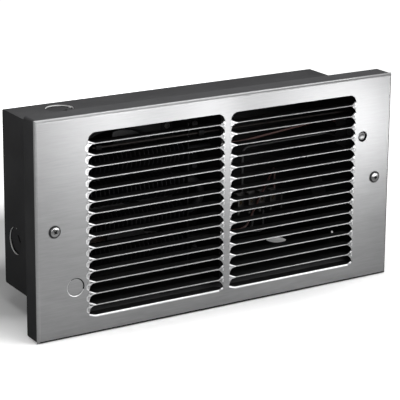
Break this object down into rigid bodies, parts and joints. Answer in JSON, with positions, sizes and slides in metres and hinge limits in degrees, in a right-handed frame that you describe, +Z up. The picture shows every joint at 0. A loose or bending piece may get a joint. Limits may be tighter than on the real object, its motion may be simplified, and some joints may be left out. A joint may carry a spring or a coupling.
{
  "type": "recessed wall heater",
  "caption": "Fan-forced electric wall heater: a painted can set in the wall, a surround and a brushed louvred face plate, with fan, element and reset button.",
  "frame": {"origin": "in the wall's surface, at the middle of the opening that the can fills", "axes": "+X to the right seen from the room, +Y into the wall, +Z up"},
  "size_m": [0.42, 0.1255, 0.224],
  "materials": {
    "dark_paint": "satin dark baked enamel",
    "stainless": "brushed along the width",
    "polished_steel": "polished",
    "galvanised": "galvanised",
    "plated_steel": "zinc plated",
    "bare_steel": "ground",
    "lamination": "stacked laminations with a blued edge",
    "winding": "enamelled copper wire",
    "aluminium": "mill finish",
    "cast_bracket": "die cast",
    "brass": "turned",
    "bronze": "sintered",
    "element_sheath": "heat darkened",
    "ceramic": "glazed",
    "switch_case": "moulded",
    "button": "moulded",
    "block_plastic": "moulded phenolic",
    "copper_tube": "drawn copper, darkened by heat",
    "green_screw": "green dyed",
    "supply_lead": "extruded",
    "element_lead": "extruded",
    "black_lead": "extruded"
  },
  "bodies": {
    "heater": {"can_wrap": "dark_paint", "can_ends": "dark_paint", "surround_frame": "dark_paint", "surround_screws": "plated_steel", "face_plate": "stainless", "face_screws": "polished_steel", "chassis_pan": "galvanised", "chassis_screws": "plated_steel", "fan_deck": "galvanised", "deck_posts": "plated_steel", "deck_screws": "plated_steel", "air_partition": "galvanised", "partition_rivets": "bare_steel", "motor_stator": "lamination", "motor_coil": "winding", "motor_front_bracket": "cast_bracket", "motor_rear_bracket": "cast_bracket", "motor_bushes": "bronze", "motor_bolts": "plated_steel", "motor_mount": "galvanised", "motor_mount_screws": "plated_steel", "heating_element": "element_sheath", "element_insulators": "ceramic", "element_terminals": "bare_steel", "element_hanger_left": "galvanised", "element_hanger_right": "galvanised", "hanger_screws": "plated_steel", "limit_switch": "switch_case", "limit_bracket": "galvanised", "limit_rivets": "bare_steel", "reset_nut": "plated_steel", "limit_capillary": "copper_tube", "capillary_clips": "galvanised", "terminal_block": "block_plastic", "terminal_screws": "brass", "ground_screw": "green_screw", "cable_clamp": "galvanised", "clamp_screws": "plated_steel", "supply_leads": "supply_lead", "element_leads": "element_lead", "motor_leads": "black_lead"},
    "fan": {"fan_wheel": "aluminium", "fan_hub": "brass", "hub_screw": "bare_steel", "motor_shaft": "bare_steel", "motor_rotor": "bare_steel"},
    "reset": {"reset_button": "button"}
  },
  "joints": [
    {"name": "fan_spin", "type": "hinge", "parent": "heater", "child": "fan", "pos_m": [-0.0898, 0.048, 0], "axis": [0, 1, 0], "continuous": true},
    {"name": "reset_push", "type": "slide", "parent": "heater", "child": "reset", "axis": [0, 1, 0], "range_m": [0, 0.0018], "stiffness_N_per_m": 400, "springref_m": -0.002}
  ]
}
